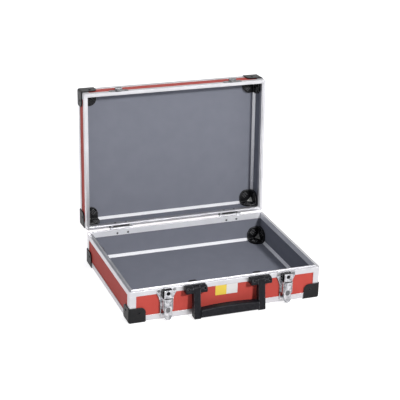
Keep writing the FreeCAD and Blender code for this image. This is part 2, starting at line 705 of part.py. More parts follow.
def latch_plug():
    centre = Vector(0, HOUSING_FRONT - PLUG_PROUD, PLUG_HEIGHT)
    inner = Vector(0, HOUSING_FRONT + HOUSING_WALL, PLUG_HEIGHT)
    body = rod(PLUG_RADIUS, centre, inner)
    collar = rod(PLUG_COLLAR_RADIUS, inner, inner + Y_AXIS * PLUG_COLLAR_THICKNESS)
    hole = rod(KEYHOLE_RADIUS, centre, centre + Y_AXIS * KEYHOLE_DEPTH)
    half = KEYHOLE_SLOT_WIDTH / 2
    slot = box(
        -half, half, centre.y, centre.y + KEYHOLE_DEPTH, PLUG_HEIGHT - KEYHOLE_SLOT_LENGTH, PLUG_HEIGHT
    )
    return join([body, collar]).cut([hole, slot])


def latch_keeper():
    half, tongue = KEEPER_WIDTH / 2, TONGUE_WIDTH / 2
    window = TONGUE_WINDOW_WIDTH / 2
    tip = BASE_TOP - TONGUE_REACH
    base_plate = box(
        -half, half, FRONT - KEEPER_THICKNESS, FRONT, LID_SEAM + KEEPER_BOTTOM, LID_SEAM + KEEPER_TOP
    )
    boss_bottom, boss_top = LID_SEAM + KEEPER_BOSS_BOTTOM, LID_SEAM + KEEPER_BOSS_TOP
    boss_half, boss_front = KEEPER_BOSS_WIDTH / 2, FRONT - KEEPER_BOSS_PROUD
    boss = box(-boss_half, boss_half, boss_front, FRONT, boss_bottom, boss_top)
    boss = round_edges(boss, KEEPER_BOSS_ROUND, lambda edge, middle: near(middle.y, boss_front))
    blade = box(-tongue, tongue, TONGUE_FRONT, TONGUE_BACK, tip, boss_bottom)
    opening = box(
        -window, window, TONGUE_FRONT, TONGUE_BACK, tip + TONGUE_BAR, BASE_TOP - TONGUE_WINDOW_TOP_DROP
    )
    holes = [rivet_hole(point, inward, WALL) for point, inward in keeper_rivet_places()]
    return join([base_plate, boss, blade]).cut([opening] + holes)


def keeper_rivet_places():
    face = FRONT - KEEPER_THICKNESS
    return [
        (Vector(x, face, LID_SEAM + KEEPER_RIVET_RISE), Y_AXIS)
        for x in (-KEEPER_RIVET_SPREAD, KEEPER_RIVET_SPREAD)
    ]


# Handle, hanging against the front
HANDLE_AXIS = Vector(0, FRONT - HANDLE_AXIS_PROUD, BASE_TOP - HANDLE_AXIS_DROP)
BRACKET_TOP = BASE_TOP - BRACKET_TOP_DROP
BRACKET_BOTTOM = BRACKET_TOP - BRACKET_HEIGHT
SCREW_HEIGHT = BASE_TOP - SCREW_DROP
BACKING_TOP = BASE_TOP - BACKING_DROP
GRIP_BOTTOM = HANDLE_GROUND_GAP + GRIP_RISE
GRIP_FRONT = FRONT - GRIP_PROUD
GRIP_HALF = HANDLE_SPREAD - ARM_WIDTH / 2
CORE_Y = GRIP_FRONT + GRIP_DEPTH / 2
CORE_Z = GRIP_BOTTOM + GRIP_END_HEIGHT / 2


def screw_places():
    """Points on the bracket's front where the two screw heads lie, at x = 0."""
    face = FRONT - BRACKET_PROUD + SCREW_HEAD_SINK
    return [Vector(x, face, SCREW_HEIGHT) for x in (-SCREW_SPREAD, SCREW_SPREAD)]


def screw_end():
    return FRONT + WALL + BACKING_THICKNESS - SCREW_END_WALL


def handle_screw(point, spare):
    """A countersunk screw from the bracket to the backing plate; spare widens it into its hole."""
    head = Part.makeCone(SCREW_HEAD_RADIUS + spare, SCREW_RADIUS + spare, SCREW_HEAD_HEIGHT, point, Y_AXIS)
    shank = rod(SCREW_RADIUS + spare, point, Vector(point.x, screw_end(), point.z))
    return join([head, shank])


def cross_recess(point):
    half, width = SCREW_CROSS_LENGTH / 2, SCREW_CROSS_WIDTH / 2
    low, high = point.z - half, point.z + half
    inner = point.y + SCREW_CROSS_DEPTH
    upright = box(point.x - width, point.x + width, point.y, inner, low, high)
    return [upright, turned(upright, point, Y_AXIS, 90)]


def screw_holes():
    sunk = []
    for point in screw_places():
        mouth = rod(SCREW_HEAD_RADIUS + RIVET_CLEARANCE, point - Y_AXIS * SCREW_HEAD_SINK, point)
        sunk += [handle_screw(point, RIVET_CLEARANCE), mouth]
    return sunk


def handle_bracket():
    half = BRACKET_WIDTH / 2
    front, top = FRONT - BRACKET_PROUD, BRACKET_TOP

    def crown_edge(edge, middle):
        return near(middle.y, front) and near(middle.z, top)

    def low_edge(edge, middle):
        return near(middle.y, front) and near(middle.z, BRACKET_BOTTOM)

    def end_edge(edge, middle):
        return near(abs(middle.x), half) and middle.y < FRONT - TOUCH

    block = box(-half, half, front, FRONT, BRACKET_BOTTOM, top)
    block = round_edges(block, BRACKET_CROWN, crown_edge)
    block = round_edges(block, BRACKET_ROUND, low_edge)
    block = round_edges(block, BRACKET_END_ROUND, end_edge)
    slot_half = ARM_WIDTH / 2 + SIDE_CLEARANCE
    slot = box(-slot_half, slot_half, front, FRONT - BRACKET_BACK, BRACKET_BOTTOM, top)
    bore = across(HANDLE_PIN_RADIUS + PIN_CLEARANCE, HANDLE_AXIS, half - HANDLE_PIN_MARGIN)
    return block.cut([slot, bore] + screw_holes())


def handle_pin():
    return across(HANDLE_PIN_RADIUS, HANDLE_AXIS, BRACKET_WIDTH / 2 - HANDLE_PIN_MARGIN)


def backing_plate():
    back = FRONT + WALL
    half, boss = BACKING_WIDTH / 2, BACKING_BOSS_WIDTH / 2
    top = BASE_TOP + BACKING_BOSS_RISE

    def boss_edge(edge, middle):
        return near(abs(middle.x), boss) and near(middle.z, top)

    flat = box(-half, half, back, back + BACKING_THICKNESS, BRACKET_BOTTOM, BACKING_TOP)
    rise = box(-boss, boss, back, back + BACKING_THICKNESS, BRACKET_BOTTOM, top)
    rise = round_edges(rise, BACKING_BOSS_ROUND, boss_edge)
    return join([flat, rise]).cut(screw_holes())


def handle_core(spare):
    half = GRIP_HALF + CORE_SEAT + spare
    deep, high = CORE_DEPTH / 2 + spare, CORE_HEIGHT / 2 + spare
    return box(-half, half, CORE_Y - deep, CORE_Y + deep, CORE_Z - high, CORE_Z + high)


def handle_arm():
    """The right arm, at x = 0: an eye on the pin and a leg that leans out to the grip."""
    half = ARM_WIDTH / 2
    eye = across(ARM_EYE_RADIUS, HANDLE_AXIS, half)
    foot_front = FRONT - ARM_FOOT_PROUD
    leg_side = [
        Vector(-half, HANDLE_AXIS.y - ARM_EYE_RADIUS, HANDLE_AXIS.z),
        Vector(-half, foot_front, HANDLE_GROUND_GAP),
        Vector(-half, foot_front + ARM_FOOT_THICKNESS, HANDLE_GROUND_GAP),
        Vector(-half, HANDLE_AXIS.y + ARM_EYE_RADIUS, HANDLE_AXIS.z),
    ]

    def foot_edge(edge, middle):
        return near(middle.z, HANDLE_GROUND_GAP) and along(edge, X_AXIS)

    def outer_edge(edge, middle):
        return near(middle.z, HANDLE_GROUND_GAP) and near(middle.x, half)

    limits = box(-half, half, foot_front, FRONT, HANDLE_GROUND_GAP, HANDLE_AXIS.z)
    limits = round_edges(limits, ARM_CORNER, outer_edge)
    leg = round_edges(plate(leg_side, Vector(ARM_WIDTH, 0, 0)), ARM_ROUND, foot_edge).common(limits)
    return join([eye, leg]).cut(across(HANDLE_PIN_RADIUS + PIN_CLEARANCE, HANDLE_AXIS, half))


def handle_grip():
    ends = GRIP_BOTTOM + GRIP_END_HEIGHT
    left_low = Vector(-GRIP_HALF, GRIP_FRONT, GRIP_BOTTOM)
    right_low = Vector(GRIP_HALF, GRIP_FRONT, GRIP_BOTTOM)
    left_high = Vector(-GRIP_HALF, GRIP_FRONT, ends)
    right_high = Vector(GRIP_HALF, GRIP_FRONT, ends)
    crown = Vector(0, GRIP_FRONT, GRIP_BOTTOM + GRIP_MIDDLE_HEIGHT)
    outline = Part.Wire(
        [
            Part.makeLine(left_low, right_low),
            Part.makeLine(right_low, right_high),
            Part.Arc(right_high, crown, left_high).toShape(),
            Part.makeLine(left_high, left_low),
        ]
    )
    block = Part.Face(outline).extrude(Vector(0, GRIP_DEPTH, 0))
    block = round_edges(
        block, GRIP_ROUND, lambda edge, middle: along(edge, X_AXIS) and abs(middle.x) < TOUCH
    )
    return block.cut(handle_core(CORE_CLEARANCE))


def spread(shapes, distance):
    """Copies of shapes built at x = 0, set to the left and to the right."""
    places = []
    for side in (-1, 1):
        places += [moved(shape, X_AXIS * side * distance) for shape in shapes]
    return places


def as_list(shapes):
    return shapes if isinstance(shapes, list) else [shapes]


def save(name, shapes, place):
    solids = []
    for shape in as_list(shapes):
        solids += place(shape).Solids
    sound = all(solid.isValid() for solid in solids)
    volume = sum(solid.Volume for solid in solids)
    print(name, len(solids), "solids", "valid" if sound else "NOT VALID", round(volume, 1))
    whole = solids[0] if len(solids) == 1 else Part.makeCompound(solids)
    whole.exportStep("parts/" + name + ".step")


def on_base(shape):
    return moved(shape, Z_AXIS * BASE_BOTTOM)


def on_lid(shape):
    return moved(mirror(shape, Z_AXIS), Z_AXIS * LID_TOP)


def opened(shape):
    """Turns a piece of the closed lid to its rest place, open against the hinges' stop."""
    return turned(shape, Vector(0, HINGE_Y, HINGE_Z), X_AXIS, -LID_OPEN_ANGLE)


def unchanged(shape):
    return shape


def placed_tray(tray, place):
    return {name: [place(shape) for shape in as_list(shapes)] for name, shapes in tray.items()}


def drilled(shapes, holes):
    return [shape.cut(holes) for shape in shapes]


# The two trays, in place with the lid closed
base = placed_tray(make_tray(BASE_HEIGHT, True), on_base)
lid = placed_tray(make_tray(LID_HEIGHT, False), on_lid)
base["flat_panel"] = [join(base["flat_panel"] + [on_base(underside_field())])]

# Holes and slots for the fittings
leaf_grip = LEAF_THICKNESS + WALL
leaf_rivets = [rivet(point, inward, leaf_grip) for point, inward in leaf_rivet_places()]
leaf_holes = [rivet_hole(point, inward, leaf_grip) for point, inward in leaf_rivet_places()]
plate_rivets = [rivet(point, inward, plate_rivet_grip(point)) for point, inward in plate_rivet_places()]
plate_holes = [rivet_hole(point, inward, plate_rivet_grip(point)) for point, inward in plate_rivet_places()]
keeper_grip = KEEPER_THICKNESS + WALL
keeper_rivets = [rivet(point, inward, keeper_grip) for point, inward in keeper_rivet_places()]
keeper_holes = [rivet_hole(point, inward, keeper_grip) for point, inward in keeper_rivet_places()]
base_front_holes = spread(plate_holes, LATCH_SPREAD) + spread(screw_holes(), HANDLE_SPREAD)
base_back_holes = spread(leaf_holes, HINGE_SPREAD)
lid_front_holes = spread(keeper_holes, LATCH_SPREAD)
lid_back_holes = [over_seam(hole) for hole in base_back_holes]
slot_middle = HALF_Y - HINGE_SLOT_INSET
hinge_slot = box(
    -HINGE_SLOT_LENGTH / 2,
    HINGE_SLOT_LENGTH / 2,
    slot_middle - HINGE_SLOT_WIDTH / 2,
    slot_middle + HINGE_SLOT_WIDTH / 2,
    LID_SEAM,
    LID_SEAM + HINGE_SLOT_DEPTH,
)
for piece in ("rim", "panel", "lining"):
    front_name = "rim_front" if piece == "rim" else "front_" + piece
    back_name = "rim_back" if piece == "rim" else "back_" + piece
    base[front_name] = drilled(base[front_name], base_front_holes)
    base[back_name] = drilled(base[back_name], base_back_holes)
    lid[front_name] = drilled(lid[front_name], lid_front_holes)
    lid[back_name] = drilled(lid[back_name], lid_back_holes)
dot_start = Vector(-HINGE_DOT_OFFSET, slot_middle, LID_SEAM)
hinge_dot = rod(HINGE_DOT_RADIUS, dot_start, dot_start + Z_AXIS * HINGE_SLOT_DEPTH)
lid["rim_back"] = drilled(lid["rim_back"], spread([hinge_slot, hinge_dot], HINGE_SPREAD))

base_knuckles = range(0, HINGE_KNUCKLES, 2)
lid_knuckles = range(1, HINGE_KNUCKLES, 2)
base_leaves = drilled(spread([base_leaf(base_knuckles)], HINGE_SPREAD), base_back_holes)
lid_leaves = drilled(spread([over_seam(base_leaf(lid_knuckles))], HINGE_SPREAD), lid_back_holes)
hinge_pin = across(HINGE_PIN_RADIUS, Vector(0, HINGE_Y, HINGE_Z), HINGE_WIDTH / 2)
pin_half = CHEEK_OUT + LATCH_PIN_END
latch_pins = [across(LATCH_PIN_RADIUS, pivot, pin_half) for pivot in (LEVER_PIVOT, CATCH_PIVOT)]
arms = left_and_right(moved(handle_arm(), X_AXIS * HANDLE_SPREAD))
screws = [handle_screw(point, 0).cut(cross_recess(point)) for point in screw_places()]
core_pocket = handle_core(CORE_CLEARANCE)

nodes = {}
lid_nodes = {}
for tray, prefix, flat, target in ((base, "base_", "floor", nodes), (lid, "lid_", "top", lid_nodes)):
    target[prefix + flat + "_panel"] = tray["flat_panel"]
    target[prefix + "lining"] = list(tray["flat_lining"])
    for side in SIDES:
        target[prefix + side + "_panel"] = tray[side + "_panel"]
        target[prefix + "rim_" + side] = tray["rim_" + side]
        target[prefix + "edge_" + side] = tray["edge_" + side]
        target[prefix + "lining"] += tray[side + "_lining"]
    for name in ("corner_posts", "corner_guards", "corner_caps", "corner_rivets"):
        target[prefix + name] = tray[name]

nodes["hinge_base_leaves"] = base_leaves
nodes["hinge_pins"] = spread([hinge_pin], HINGE_SPREAD)
nodes["base_fitting_rivets"] = spread(plate_rivets, LATCH_SPREAD) + spread(leaf_rivets, HINGE_SPREAD)
nodes["latch_pins"] = spread(latch_pins, LATCH_SPREAD)
nodes["handle_brackets"] = spread([handle_bracket()], HANDLE_SPREAD)
nodes["handle_pins"] = spread([handle_pin()], HANDLE_SPREAD)
nodes["handle_backing_plates"] = spread([backing_plate()], HANDLE_SPREAD)
nodes["handle_screws"] = spread(screws, HANDLE_SPREAD)
nodes["handle_arms"] = [arm.cut(core_pocket) for arm in arms]
nodes["handle_core"] = handle_core(0)
nodes["handle_grip"] = handle_grip()
lid_nodes["hinge_lid_leaves"] = lid_leaves
lid_nodes["lid_fitting_rivets"] = spread(keeper_rivets, LATCH_SPREAD)
lid_nodes["lid_fitting_rivets"] += [over_seam(piece) for piece in spread(leaf_rivets, HINGE_SPREAD)]
for side, x in (("left", -LATCH_SPREAD), ("right", LATCH_SPREAD)):
    nodes["latch_plate_" + side] = moved(latch_plate(), X_AXIS * x)
    nodes["latch_lever_" + side] = moved(latch_lever(), X_AXIS * x)
    nodes["latch_catch_" + side] = moved(latch_catch(), X_AXIS * x)
    nodes["latch_plug_" + side] = moved(latch_plug(), X_AXIS * x)
    lid_nodes["latch_keeper_" + side] = moved(latch_keeper(), X_AXIS * x)

os.makedirs("parts", exist_ok=True)
for name, shapes in nodes.items():
    save(name, shapes, unchanged)
for name, shapes in lid_nodes.items():
    save(name, shapes, opened)
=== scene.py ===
import bpy
import bmesh
import json
import math
from mathutils import Matrix, Vector


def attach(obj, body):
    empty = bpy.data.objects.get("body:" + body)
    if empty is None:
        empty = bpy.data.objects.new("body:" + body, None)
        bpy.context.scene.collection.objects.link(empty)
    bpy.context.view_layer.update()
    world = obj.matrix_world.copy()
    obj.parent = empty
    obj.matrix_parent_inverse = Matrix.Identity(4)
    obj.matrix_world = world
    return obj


# Looks of an aluminium-framed carrying case that stands open. Metres, in the model's own frame.

# Camera: where it stands, how it is turned, and its lens for a square picture
CAMERA_EYE = Vector((-0.7366, -1.8835, 0.9800))
CAMERA_AZIMUTH = math.radians(-21.236)
CAMERA_ELEVATION = math.radians(22.277)
CAMERA_ROLL = math.radians(1.911)
CAMERA_LENS_MM = 113.82
CAMERA_SENSOR_MM = 36.0

# Light levels
SKY_LOW = (0.19, 0.195, 0.21, 1.0)
SKY_HIGH = (0.58, 0.59, 0.62, 1.0)
SKY_DIRECTION = (0.15, 0.80, 0.55)
WHITE = (1.0, 1.0, 1.0, 1.0)
KEY_PLACE = Vector((0.72, -2.5, 1.68))
KEY_TARGET = Vector((0.0, 0.0, 0.1))
KEY_SIZE = 0.28
KEY_POWER = 63.0
FLOOR_REACH = 12.0
FLOOR_COLOUR = (0.88, 0.88, 0.88, 1.0)
FLOOR_GLOW = 0.72

# Where the sky is darkest and brightest, as the share of SKY_DIRECTION in the way that is looked
SKY_DARKEST_AT = -0.7
SKY_BRIGHTEST_AT = 0.9

# Noise: the stretch of its values that is used, and its detail in fine grain and in patches
NOISE_LOW = 0.3
NOISE_HIGH = 0.7
GRAIN_DETAIL = 4.0
PATCH_DETAIL = 3.0
PATCH_SCALE = 40.0

# Brushed metal: the scale of its grain along a profile, as a share of the scale across it
BRUSH_STRETCH = 0.02

# Edges: the rounding, the share of the true normal left in the rounded one on flat ground and on an
# edge, and the stretch of the patches' noise that breaks up the edge colour: wear, with painted edge
# highlights on black parts and painted dark edge lines on the latch chrome
EDGE_RADIUS = 0.0004
EDGE_SAMPLES = 4
FLAT_TURN = 0.995
EDGE_TURN = 0.85
EDGE_PATCH_LOW = 0.35
EDGE_PATCH_HIGH = 0.65

# A face of a corner cap counts as its slanting facet when it faces all three ways at least this much
FACET_SLANT = 0.5

# A face of an edge profile counts as its slanting strip when it faces two ways at least this much
STRIP_SLANT = 0.6

# A face counts as facing one way when its normal points there at least this much
FACING = 0.9

# Latches: the places that tell their faces apart, with the latch at x = 0
LATCH_SPREAD = 0.1075
HOUSING_HALF = 0.00715
FACE_DEPTH = 0.001
HOUSING_FRONT_Y = -0.1371
PLATE_FRONT_Y = -0.1273
HOUSING_BOTTOM_Z = 0.0431
HOUSING_TOP_Z = 0.0576
BARREL_Z = 0.0405
BARREL_SLOPE = 0.1
DIMPLE_Y = -0.1367
DIMPLE_TOLERANCE = 0.0001

# Hinge axis and opening of the lid, for pieces that are laid out with the lid closed
HINGE_Y = 0.1282
HINGE_Z = 0.05875
LID_OPEN_ANGLE = math.radians(93.0)

# Blank two-colour label on the front board
LABEL_CENTRE_X = -0.0003
LABEL_CENTRE_Z = 0.0398
LABEL_WIDTH = 0.040
LABEL_HEIGHT = 0.0185
LABEL_SPLIT = 0.50
LABEL_THICKNESS = 0.0002
LABEL_CORNER = 0.0012
BOARD_FRONT_Y = -0.125

# Dark sheets over the slots and dots of the lid's rear rim: painted shade in these recesses
SLOT_SPREAD = 0.106
SLOT_MIDDLE_Y = 0.1242
SLOT_LENGTH = 0.0310
SLOT_WIDTH = 0.0029
SLOT_ROUNDING = 0.4
SEAM_Z = 0.0590
STRIP_THICKNESS = 0.0001
DOT_OFFSET = 0.0215
DOT_RADIUS = 0.0019
ROUND_STEPS = 8

# A thin piece is narrowed at the top by this share of its thickness
NARROWING = 0.5

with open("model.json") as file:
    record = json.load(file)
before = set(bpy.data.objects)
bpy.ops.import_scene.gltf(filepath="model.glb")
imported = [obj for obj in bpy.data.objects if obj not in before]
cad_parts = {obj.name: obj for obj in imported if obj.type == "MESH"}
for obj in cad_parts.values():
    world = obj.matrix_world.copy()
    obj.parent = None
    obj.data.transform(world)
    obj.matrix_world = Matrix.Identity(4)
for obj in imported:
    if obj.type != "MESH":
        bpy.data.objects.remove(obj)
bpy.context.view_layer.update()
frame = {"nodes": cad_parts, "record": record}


# Materials: noise moves colour, roughness and bump, and edges are turned towards another colour: wear,
# painted edge highlights and painted dark edge lines
def add_node(tree, kind, **settings):
    made = tree.nodes.new(kind)
    for name, value in settings.items():
        setattr(made, name, value)
    return made


def noise_node(tree, coordinates, scale, detail, stretch=(1.0, 1.0, 1.0)):
    mapping = add_node(tree, "ShaderNodeMapping")
    mapping.inputs["Scale"].default_value = stretch
    tree.links.new(coordinates.outputs["Object"], mapping.inputs["Vector"])
    noise = add_node(tree, "ShaderNodeTexNoise")
    noise.inputs["Scale"].default_value = scale
    noise.inputs["Detail"].default_value = detail
    tree.links.new(mapping.outputs["Vector"], noise.inputs["Vector"])
    return noise.outputs["Fac"]


def ramp_node(tree, factor, stops):
    ramp = add_node(tree, "ShaderNodeValToRGB")
    tree.links.new(factor, ramp.inputs["Fac"])
    elements = ramp.color_ramp.elements
    for element, (position, colour) in zip(elements, stops):
        element.position = position
        element.color = colour
    return ramp.outputs["Color"]


def range_node(tree, value, low, high, out_low, out_high):
    scaled = add_node(tree, "ShaderNodeMapRange")
    for name, number in (("From Min", low), ("From Max", high), ("To Min", out_low), ("To Max", out_high)):
        scaled.inputs[name].default_value = number
    tree.links.new(value, scaled.inputs["Value"])
    return scaled.outputs["Result"]


def seen_ray(tree):
    """1 for what the camera sees, straight, in a glossy surface or through glass, and 0 for light."""
    path = add_node(tree, "ShaderNodeLightPath")
    seen = path.outputs["Is Camera Ray"]
    for name in ("Is Glossy Ray", "Is Transmission Ray"):
        either = add_node(tree, "ShaderNodeMath", operation="MAXIMUM")
        tree.links.new(seen, either.inputs[0])
        tree.links.new(path.outputs[name], either.inputs[1])
        seen = either.outputs["Value"]
    return seen


def edge_mask(tree, bevel, patches):
    """1 on sharp edges, broken up by patches of noise, and 0 on flat ground."""
    geometry = add_node(tree, "ShaderNodeNewGeometry")
    dot = add_node(tree, "ShaderNodeVectorMath", operation="DOT_PRODUCT")
    tree.links.new(bevel.outputs["Normal"], dot.inputs[0])
    tree.links.new(geometry.outputs["Normal"], dot.inputs[1])
    edge = range_node(tree, dot.outputs["Value"], FLAT_TURN, EDGE_TURN, 0.0, 1.0)
    broken = add_node(tree, "ShaderNodeMath", operation="MULTIPLY")
    tree.links.new(edge, broken.inputs[0])
    tree.links.new(range_node(tree, patches, EDGE_PATCH_LOW, EDGE_PATCH_HIGH, 0.0, 1.0), broken.inputs[1])
    return broken.outputs["Value"]


def paint_edge_wear_and_light(tree, drift, edge_wear_and_painted_light, mask):
    """The drifting colour, turned to the edge colour by the mask: wear, painted edge highlights and painted
    dark edge lines. A Mix node's colours are inputs 6 and 7.
    """
    mix = add_node(tree, "ShaderNodeMix", data_type="RGBA")
    tree.links.new(mask, mix.inputs["Factor"])
    tree.links.new(drift, mix.inputs[6])
    mix.inputs[7].default_value = edge_wear_and_painted_light
    return mix.outputs[2]


def surface(
    name, colours, roughness, grain, bump, edge_wear_and_painted_light,
    metallic=0.0, specular=0.5, bevel=EDGE_RADIUS, patch=PATCH_SCALE,
):
    """A material. colours and roughness are pairs; grain is (scale, stretch); bump is (strength, depth)."""
    material = bpy.data.materials.new(name)
    material.use_nodes = True
    tree = material.node_tree
    shader = tree.nodes["Principled BSDF"]
    shader.inputs["Metallic"].default_value = metallic
    shader.inputs["Specular IOR Level"].default_value = specular
    coordinates = add_node(tree, "ShaderNodeTexCoord")
    fine = noise_node(tree, coordinates, grain[0], GRAIN_DETAIL, grain[1])
    patches = noise_node(tree, coordinates, patch, PATCH_DETAIL)
    rounded = add_node(tree, "ShaderNodeBevel", samples=EDGE_SAMPLES)
    rounded.inputs["Radius"].default_value = bevel
    drift = ramp_node(tree, patches, [(NOISE_LOW, colours[0]), (NOISE_HIGH, colours[1])])
    colour = paint_edge_wear_and_light(tree, drift, edge_wear_and_painted_light, edge_mask(tree, rounded, patches))
    gloss = range_node(tree, fine, NOISE_LOW, NOISE_HIGH, roughness[0], roughness[1])
    tree.links.new(colour, shader.inputs["Base Color"])
    tree.links.new(gloss, shader.inputs["Roughness"])
    relief = add_node(tree, "ShaderNodeBump")
    relief.inputs["Strength"].default_value = bump[0]
    relief.inputs["Distance"].default_value = bump[1]
    tree.links.new(fine, relief.inputs["Height"])
    tree.links.new(rounded.outputs["Normal"], relief.inputs["Normal"])
    tree.links.new(relief.outputs["Normal"], shader.inputs["Normal"])
    return material


EVEN = (1.0, 1.0, 1.0)
BRUSHED_ALONG = {
    "x": (BRUSH_STRETCH, 1.0, 1.0),
    "y": (1.0, BRUSH_STRETCH, 1.0),
    "z": (1.0, 1.0, BRUSH_STRETCH),
}

aluminium = {}
for axis, stretch in BRUSHED_ALONG.items():
    aluminium[axis] = surface(
        "aluminium_brushed_" + axis,
        colours=((0.50, 0.497, 0.515, 1.0), (0.57, 0.567, 0.585, 1.0)),
        roughness=(0.28, 0.40),
        grain=(2500.0, stretch),
        bump=(0.35, 0.0001),
        edge_wear_and_painted_light=(0.95, 0.95, 0.97, 1.0),
        metallic=0.8,
    )
# Strip aluminium: lighter than the brushed profiles, painted light on the strips and on the inward flanks
# of the base rims
strip_painted_light = surface(
    "aluminium_strip_painted_light",
    colours=((0.88, 0.88, 0.91, 1.0), (0.95, 0.95, 0.97, 1.0)),
    roughness=(0.30, 0.42),
    grain=(1800.0, EVEN),
    bump=(0.15, 0.0001),
    edge_wear_and_painted_light=(0.95, 0.95, 0.97, 1.0),
    metallic=0.2,
)
red = surface(
    "red_laminate",
    colours=((0.53, 0.077, 0.062, 1.0), (0.56, 0.085, 0.068, 1.0)),
    roughness=(0.42, 0.56),
    grain=(1100.0, EVEN),
    bump=(0.25, 0.0002),
    edge_wear_and_painted_light=(0.45, 0.05, 0.04, 1.0),
    specular=0.05,
)
grey = surface(
    "grey_lining",
    colours=((0.209, 0.218, 0.258, 1.0), (0.223, 0.232, 0.274, 1.0)),
    roughness=(0.62, 0.78),
    grain=(900.0, EVEN),
    bump=(0.3, 0.0002),
    edge_wear_and_painted_light=(0.26, 0.27, 0.30, 1.0),
    specular=0.1,
)
# Black plastic: the light edge colour is a painted highlight along the edges
black = surface(
    "black_plastic",
    colours=((0.018, 0.018, 0.019, 1.0), (0.024, 0.024, 0.025, 1.0)),
    roughness=(0.30, 0.42),
    grain=(1400.0, EVEN),
    bump=(0.15, 0.0002),
    edge_wear_and_painted_light=(0.20, 0.20, 0.21, 1.0),
    specular=0.08,
    bevel=0.0006,
)
# Handle black: the light edge colour paints a highlight line along the edges
grip_black = surface(
    "black_grip",
    colours=((0.007, 0.007, 0.009, 1.0), (0.017, 0.017, 0.021, 1.0)),
    roughness=(0.26, 0.44),
    grain=(420.0, EVEN),
    bump=(0.6, 0.0008),
    edge_wear_and_painted_light=(0.26, 0.26, 0.28, 1.0),
    specular=0.1,
    bevel=0.0012,
    patch=300.0,
)
# Cap black: the light edge colour paints small highlights on the ribs and edges
cap_black = surface(
    "black_cap",
    colours=((0.006, 0.006, 0.007, 1.0), (0.012, 0.012, 0.013, 1.0)),
    roughness=(0.14, 0.24),
    grain=(900.0, EVEN),
    bump=(0.3, 0.0003),
    edge_wear_and_painted_light=(0.50, 0.50, 0.51, 1.0),
    specular=0.12,
    bevel=0.0009,
)
# Cap facets: the lid's light grey is a painted highlight and the base's near-black is painted shade, lit
# and shaded copies of one facet
cap_facet_lit_and_shaded = {}
FACET_LIT_AND_SHADED_COLOURS = {
    "lid": ((0.45, 0.45, 0.42, 1.0), (0.58, 0.58, 0.55, 1.0)),
    "base": ((0.03, 0.03, 0.032, 1.0), (0.06, 0.06, 0.062, 1.0)),
}
for half, pair in FACET_LIT_AND_SHADED_COLOURS.items():
    cap_facet_lit_and_shaded[half] = surface(
        "cap_facet_painted_light_" + half,
        colours=pair,
        roughness=(0.2, 0.3),
        grain=(900.0, EVEN),
        bump=(0.2, 0.0002),
        edge_wear_and_painted_light=(0.02, 0.02, 0.02, 1.0),
        bevel=0.0009,
    )
# Latch chrome: the dark and light patches are painted reflections, and the dark edge colour paints shade
# lines along the edges
bright = surface(
    "bright_plate",
    colours=((0.17, 0.17, 0.185, 1.0), (0.62, 0.62, 0.64, 1.0)),
    roughness=(0.20, 0.30),
    grain=(700.0, EVEN),
    bump=(0.08, 0.0002),
    edge_wear_and_painted_light=(0.12, 0.12, 0.13, 1.0),
    metallic=1.0,
    patch=160.0,
)
# Dark steel: the plugs' own dark colour, also used as painted shade in the latch housings, barrels and
# catches
dark = surface(
    "dark_plug_and_painted_shade",
    colours=((0.008, 0.008, 0.009, 1.0), (0.016, 0.016, 0.018, 1.0)),
    roughness=(0.3, 0.42),
    grain=(1500.0, EVEN),
    bump=(0.1, 0.0001),
    edge_wear_and_painted_light=(0.2, 0.2, 0.2, 1.0),
    metallic=0.6,
    specular=0.1,
)
steel = surface(
    "plain_steel",
    colours=((0.36, 0.36, 0.38, 1.0), (0.46, 0.46, 0.48, 1.0)),
    roughness=(0.28, 0.42),
    grain=(1800.0, EVEN),
    bump=(0.1, 0.0001),
    edge_wear_and_painted_light=(0.8, 0.8, 0.8, 1.0),
    metallic=1.0,
)
zinc = surface(
    "grey_zinc",
    colours=((0.10, 0.10, 0.105, 1.0), (0.18, 0.18, 0.185, 1.0)),
    roughness=(0.25, 0.38),
    grain=(1600.0, EVEN),
    bump=(0.1, 0.0001),
    edge_wear_and_painted_light=(0.6, 0.6, 0.6, 1.0),
    metallic=0.9,
)
rivets = surface(
    "rivet_steel",
    colours=((0.16, 0.16, 0.165, 1.0), (0.24, 0.24, 0.245, 1.0)),
    roughness=(0.3, 0.45),
    grain=(1800.0, EVEN),
    bump=(0.1, 0.0001),
    edge_wear_and_painted_light=(0.75, 0.75, 0.75, 1.0),
    metallic=1.0,
)
label_yellow = surface(
    "label_yellow",
    colours=((0.80, 0.58, 0.06, 1.0), (0.86, 0.64, 0.08, 1.0)),
    roughness=(0.35, 0.45),
    grain=(1200.0, EVEN),
    bump=(0.05, 0.0001),
    edge_wear_and_painted_light=(0.8, 0.65, 0.2, 1.0),
)
label_white = surface(
    "label_white",
    colours=((0.72, 0.70, 0.68, 1.0), (0.80, 0.78, 0.76, 1.0)),
    roughness=(0.35, 0.45),
    grain=(1200.0, EVEN),
    bump=(0.05, 0.0001),
    edge_wear_and_painted_light=(0.85, 0.83, 0.8, 1.0),
)
# Painted shade for the hinge slots and dots
slot_painted_shade = surface(
    "slot_painted_shade",
    colours=((0.012, 0.012, 0.013, 1.0), (0.02, 0.02, 0.021, 1.0)),
    roughness=(0.5, 0.65),
    grain=(1500.0, EVEN),
    bump=(0.1, 0.0001),
    edge_wear_and_painted_light=(0.04, 0.04, 0.04, 1.0),
)


def brushed_axis(node):
    """The direction in which a length of profile runs, with the lid open."""
    if node.endswith("_front") or node.endswith("_back"):
        return "x"
    if node.endswith("corner_posts"):
        return "y" if node.startswith("lid") else "z"
    return "z" if node.startswith("lid") else "y"


